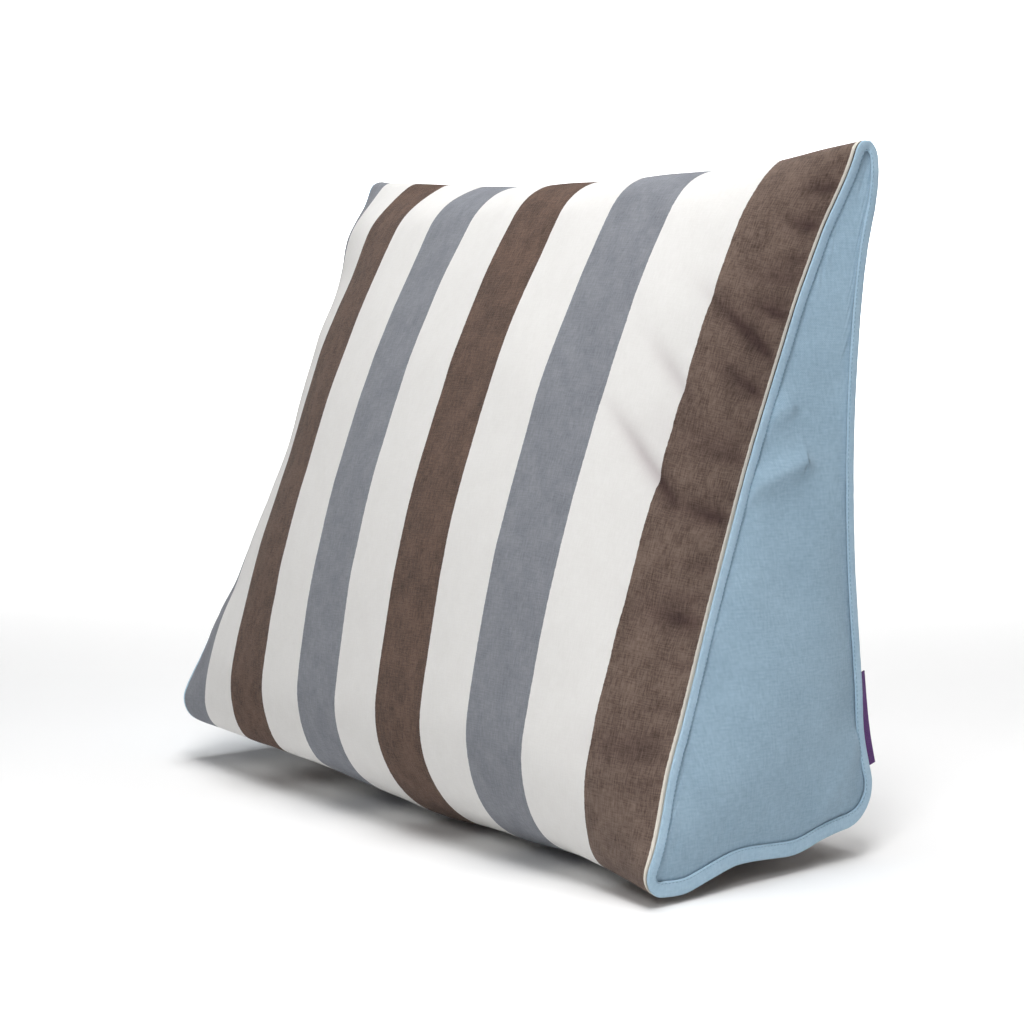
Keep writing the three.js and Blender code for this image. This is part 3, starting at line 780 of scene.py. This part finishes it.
def make_stitches(name, places, directions, up, material):
    """Short raised threads: a bent capsule for each place, along its direction."""
    sides, sections = STITCH_SIDES, STITCH_SECTIONS
    length, thickness = STITCH_LENGTH * MM, STITCH_THICKNESS * MM
    points, faces = [], []
    for place, along in zip(places, directions):
        start = len(points)
        beside = along.cross(up).normalized()
        for s in range(sections):
            t = s / (sections - 1) * 2 - 1
            thick = thickness / 2 * math.sqrt(max(1 - t**4, 0.06))
            centre = place + along * (t * length / 2) + up * (thickness * 0.35 * (1 - t * t))
            for n in range(sides):
                angle = 2 * math.pi * n / sides
                points.append(centre + (beside * math.cos(angle) + up * math.sin(angle)) * thick)
        faces += [tuple(start + n for n in face) for face in band_faces(sections, sides)]
        last = start + (sections - 1) * sides
        faces += [tuple(range(start + sides - 1, start - 1, -1)), tuple(range(last, last + sides))]
    mesh = bpy.data.meshes.new(name)
    mesh.from_pydata(points, [], faces)
    mesh.polygons.foreach_set("use_smooth", [True] * len(mesh.polygons))
    mesh.materials.append(material)
    made = bpy.data.objects.new(name, mesh)
    bpy.context.scene.collection.objects.link(made)
    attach(made, "root")


def in_metres(x, point):
    return Vector((x + ORIGIN_SHIFT[0], point.real + ORIGIN_SHIFT[1], point.imag)) * MM


def welt_stitches(name, half, material):
    """A row of stitches all along the welt."""
    row = inset_loop(half, (1 - math.cos(STITCH_ANGLE)) / 2)
    lengths = lengths_of(row)
    count = int(lengths[-1] / STITCH_PITCH)
    wanted = (np.arange(count) + 0.5) / count
    at = at_shares(row, wanted)
    ahead = at_shares(row, (wanted + 0.0004) % 1)
    surface = half["edge_x"] + half["side"] * welt_lift(half, STITCH_ANGLE)
    xs = np.interp(wanted, lengths / lengths[-1], np.append(surface, surface[0]))
    places = [in_metres(x, point) for x, point in zip(xs, at)]
    directions = [Vector((0, (b - a).real, (b - a).imag)).normalized() for a, b in zip(at, ahead)]
    make_stitches(name, places, directions, Vector((half["side"], 0, 0)), material)


def make_label(material):
    """A ribbon folded in two and caught in the back seam of the right end."""
    edge, edge_x = right["edge"], right["edge_x"]
    back = (shares > 0.6) & (edge.real > 0) & (edge.imag > 30) & (edge.imag < 300)
    order = np.argsort(edge.imag[back])
    heights, seam_y, seam_x = (a[back][order] for a in (edge.imag, edge.real, edge_x))
    profile = LABEL_PROFILE + [(out, -across) for out, across in LABEL_PROFILE[-2::-1]]
    loops, xs, places = [], [], []
    run = np.cumsum([0] + [math.dist(a, b) for a, b in zip(profile, profile[1:])])
    for row in range(LABEL_ROWS):
        share = row / (LABEL_ROWS - 1)
        z = LABEL_FOOT + share * LABEL_LENGTH
        lean = math.radians(LABEL_LEAN_FOOT + (LABEL_LEAN_TOP - LABEL_LEAN_FOOT) * share)
        foot_y, foot_x = np.interp(z, heights, seam_y), np.interp(z, heights, seam_x)
        for (out, across), along in zip(profile, run):
            curl = LABEL_CURL * math.sin(share * 5) * out / LABEL_DEPTH
            off, beside = out + LABEL_GAP, across + curl
            xs.append(foot_x - math.cos(lean) * off + math.sin(lean) * beside)
            loops.append(complex(foot_y + math.sin(lean) * off + math.cos(lean) * beside, z))
            places.append((along * MM, share * LABEL_LENGTH * MM))
    width = len(profile)
    faces = [
        (r * width + k, r * width + k + 1, (r + 1) * width + k + 1, (r + 1) * width + k)
        for r in range(LABEL_ROWS - 1)
        for k in range(width - 1)
    ]
    places = np.array(places)
    x, loop = np.array(xs), np.array(loops)
    made = mesh_object("label_ribbon", x, loop, faces, lambda corners: places[corners])
    made.data.materials.append(material)
    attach(made, "root")
    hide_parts("label")


wrap_material = striped_material()
panel_material = plain_material("panel_cloth", srgb(130, 157, 177), srgb(172, 199, 217), *PLAIN_WEAVE)
# Painted highlight: the welts are of the panels' cloth, given lighter yarn colours than the panels for the
# light that they catch.
welt_material = plain_material("welt_cloth", srgb(152, 185, 208), srgb(192, 218, 235), *PLAIN_WEAVE)
thread_blue = thread_material("stitch_thread", srgb(120, 150, 170))
ribbon = plain_material("label_ribbon", srgb(66, 18, 92), srgb(104, 42, 130), *RIBBON_WEAVE, 0.7, 0.0)

make_wrap(wrap_material)
make_panel("panel_right", right, "side_panel_right", panel_material)
make_panel("panel_left", left, "side_panel_left", panel_material)
make_welt("welt_right", right, "piping_right", welt_material)
make_welt("welt_left", left, "piping_left", welt_material)
welt_stitches("welt_stitches_right", right, thread_blue)
welt_stitches("welt_stitches_left", left, thread_blue)
make_label(ribbon)

# Stage, light and camera
scene = bpy.context.scene
scene.view_settings.view_transform = "Standard"
scene.view_settings.look = "None"

STUDIO_RADIUS, BACKDROP_HEIGHT = 6, 2.4
FLOOR_SIDES, SCREEN_SIDES = 48, 40
BACKDROP_GLOW, SURROUND_GLOW, WORLD_GLOW = 1.0, 0.08, 0.02
GLOW_STARTS, GLOW_FULL = 0.2, 2.6  # how far behind the pillow the floor starts to glow and is full


def stage_material(name, glow):
    """Pale paint that glows by itself: the same all over or, without a number, more further back."""
    material = bpy.data.materials.new(name)
    material.use_nodes = True
    tree = material.node_tree
    shader = tree.nodes["Principled BSDF"]
    shader.inputs["Base Color"].default_value = (0.9, 0.9, 0.9, 1)
    shader.inputs["Roughness"].default_value = 0.9
    shader.inputs["Specular IOR Level"].default_value = 0.1
    shader.inputs["Emission Color"].default_value = (1, 1, 1, 1)
    if glow is None:
        place = node(tree, "ShaderNodeTexCoord").outputs["Object"]
        back = math.radians(CAMERA_AZIMUTH + 90)
        inputs = {0: place, 1: (math.cos(back), math.sin(back), 0)}
        away = node(tree, "ShaderNodeVectorMath", inputs, operation="DOT_PRODUCT").outputs["Value"]
        inputs = {0: away, 1: GLOW_STARTS, 2: GLOW_FULL, 3: 0.0, 4: 1.0}
        glow = node(tree, "ShaderNodeMapRange", inputs, interpolation_type="SMOOTHSTEP").outputs[0]
        tree.links.new(glow, shader.inputs["Emission Strength"])
    else:
        shader.inputs["Emission Strength"].default_value = glow
    return material


def stage_piece(name, points, faces, material):
    mesh = bpy.data.meshes.new(name)
    mesh.from_pydata(points, [], faces)
    mesh.polygons.foreach_set("use_smooth", [True] * len(mesh.polygons))
    mesh.materials.append(material)
    made = bpy.data.objects.new(name, mesh)
    scene.collection.objects.link(made)


def make_stage():
    """A round pale floor with a low screen round it, bright behind the pillow and dimmer elsewhere."""
    turns = [2 * math.pi * k / FLOOR_SIDES for k in range(FLOOR_SIDES)]
    rim = [(STUDIO_RADIUS * math.cos(a), STUDIO_RADIUS * math.sin(a), 0) for a in turns]
    stage_piece("floor", rim, [tuple(range(FLOOR_SIDES))], stage_material("floor", None))
    behind = math.radians(CAMERA_AZIMUTH + 90)
    screens = [
        ("backdrop", behind, 60, BACKDROP_GLOW),
        ("surround", behind + math.pi, 120, SURROUND_GLOW),
    ]
    for name, middle, half_turn, glow in screens:
        half_angle = math.radians(half_turn)
        angles = [middle + half_angle * (2 * k / SCREEN_SIDES - 1) for k in range(SCREEN_SIDES + 1)]
        points = []
        for a in angles:
            foot = Vector((math.cos(a), math.sin(a), 0)) * STUDIO_RADIUS
            points += [foot, foot + Vector((0, 0, BACKDROP_HEIGHT))]
        faces = [(2 * k, 2 * k + 2, 2 * k + 3, 2 * k + 1) for k in range(SCREEN_SIDES)]
        stage_piece(name, points, faces, stage_material(name, glow))


def area_light(name, place, target, size, power):
    data = bpy.data.lights.new(name, "AREA")
    data.energy, data.size = power, size
    made = bpy.data.objects.new(name, data)
    made.location = place
    made.rotation_euler = (Vector(target) - Vector(place)).to_track_quat("-Z", "Y").to_euler()
    scene.collection.objects.link(made)


CAMERA_AZIMUTH, CAMERA_PITCH, CAMERA_LENS = 51.05, 4.91, 68.76
make_stage()
area_light("overhead", (0, 0, 2.45), (0, 0, 0.25), 1.2, 33)
area_light("front", (0.72, -0.6, 2.02), (0, 0, 0.25), 0.7, 21)
area_light("right", (0.9, -1.0, 0.85), (0.2, 0, 0.25), 0.4, 4.2)
area_light("back", (0, 1.1, 2.16), (0, 0, 0.25), 1.0, 7)

world = bpy.data.worlds.new("studio")
world.use_nodes = True
world.node_tree.nodes["Background"].inputs[0].default_value = (1, 1, 1, 1)
world.node_tree.nodes["Background"].inputs[1].default_value = WORLD_GLOW
scene.world = world

camera_data = bpy.data.cameras.new("camera")
camera_data.lens, camera_data.sensor_width = CAMERA_LENS, 36
camera = bpy.data.objects.new("camera", camera_data)
camera.location = (1.22196, -0.96600, 0.3701)
camera.rotation_euler = (math.radians(90 - CAMERA_PITCH), 0, math.radians(CAMERA_AZIMUTH))
scene.collection.objects.link(camera)
scene.camera = camera
